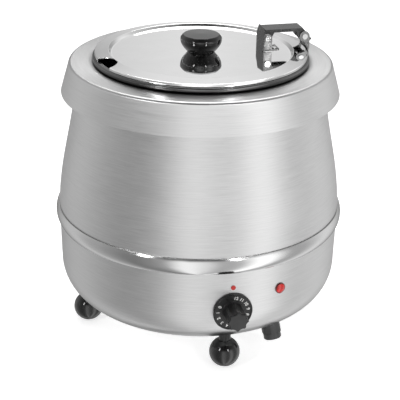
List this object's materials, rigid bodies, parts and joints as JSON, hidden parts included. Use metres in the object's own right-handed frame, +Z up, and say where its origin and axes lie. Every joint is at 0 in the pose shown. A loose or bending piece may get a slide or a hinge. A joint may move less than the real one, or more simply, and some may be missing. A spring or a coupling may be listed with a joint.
{
  "type": "soup kettle",
  "caption": "Electric wet-heat soup kettle: brushed steel body on ball feet, lift-out pot, side-hinged lid with knob and ladle notch, thermostat dial and lamp.",
  "frame": {"origin": "on the surface that the feet stand on, under the body's axis", "axes": "+Z up along the body's axis, -Y out of the front where the dial is, +X towards the lid hinge"},
  "size_m": [0.34, 0.3603, 0.3581],
  "materials": {
    "brushed_shell": "circumferentially brushed",
    "satin_steel": "satin sheet steel",
    "polished_steel": "mirror polished",
    "plated_fastener": "bright zinc",
    "gloss_black": "gloss",
    "satin_black": "satin",
    "gland_plastic": "matte",
    "red_lens": "clear gloss",
    "red_paint": "gloss paint",
    "white_plastic": "matte",
    "brass": "turned",
    "copper": "drawn",
    "wire_brown": "satin",
    "wire_blue": "satin",
    "element_steel": "oxidised",
    "cutout_body": "matte"
  },
  "bodies": {
    "kettle": {"upper_shell": "brushed_shell", "lower_shell": "brushed_shell", "trim_band": "polished_steel", "collar": "brushed_shell", "water_well": "polished_steel", "base_plate": "satin_steel", "base_screws": "plated_fastener", "foot_front": "gloss_black", "foot_right": "gloss_black", "foot_back": "gloss_black", "foot_left": "gloss_black", "foot_studs": "plated_fastener", "foot_wedge_washers": "plated_fastener", "foot_nuts": "plated_fastener", "cable_gland_body": "gland_plastic", "cable_gland_cap": "gland_plastic", "gland_wedge_washer": "plated_fastener", "gland_locknut": "gland_plastic", "terminal_block": "white_plastic", "terminal_screws": "brass", "earth_stud": "brass", "supply_wires": "wire_brown", "control_wires": "wire_blue", "thermostat_body": "white_plastic", "thermostat_bush": "plated_fastener", "thermostat_screws": "plated_fastener", "capillary_tube": "copper", "sensor_bulb": "copper", "bulb_clip": "plated_fastener", "limit_cutout": "cutout_body", "heating_element": "element_steel", "element_straps": "satin_steel", "element_studs": "plated_fastener", "element_nuts": "plated_fastener", "index_dot": "red_paint", "lamp_bezel": "satin_black", "lamp_lens": "red_lens", "lamp_body": "white_plastic", "lamp_nut": "gland_plastic"},
    "dial": {"dial_disc": "satin_black", "dial_grip": "satin_black", "dial_shaft": "plated_fastener"},
    "pot": {"inner_pot": "polished_steel", "rear_hinge_bracket": "satin_steel", "rear_bracket_rivets": "plated_fastener"},
    "arm": {"hinge_arm": "satin_steel", "rear_hinge_pin": "plated_fastener", "front_hinge_pin": "plated_fastener"},
    "lid": {"lid": "polished_steel", "lid_bracket": "satin_steel", "lid_bracket_rivets": "plated_fastener", "lid_knob": "gloss_black", "knob_screw": "plated_fastener", "knob_washer": "plated_fastener"}
  },
  "joints": [
    {"name": "dial_turn", "type": "hinge", "parent": "kettle", "child": "dial", "pos_m": [0, -0.18, 0.08594], "axis": [0, -1, 0], "range_deg": [0, 300]},
    {"name": "pot_lift", "type": "slide", "parent": "kettle", "child": "pot", "axis": [0, 0, 1], "range_m": [0, 0.27]},
    {"name": "arm_lift", "type": "hinge", "parent": "pot", "child": "arm", "pos_m": [0.119, 0, 0.34714], "axis": [0, 1, 0], "range_deg": [0, 105]},
    {"name": "lid_lag", "type": "hinge", "parent": "arm", "child": "lid", "pos_m": [0.0752, 0, 0.34714], "axis": [0, 1, 0], "range_deg": [-4, 0]}
  ],
  "couplings": [
    {"joint": "lid_lag", "follows": "arm_lift", "ratio": -0.03}
  ]
}
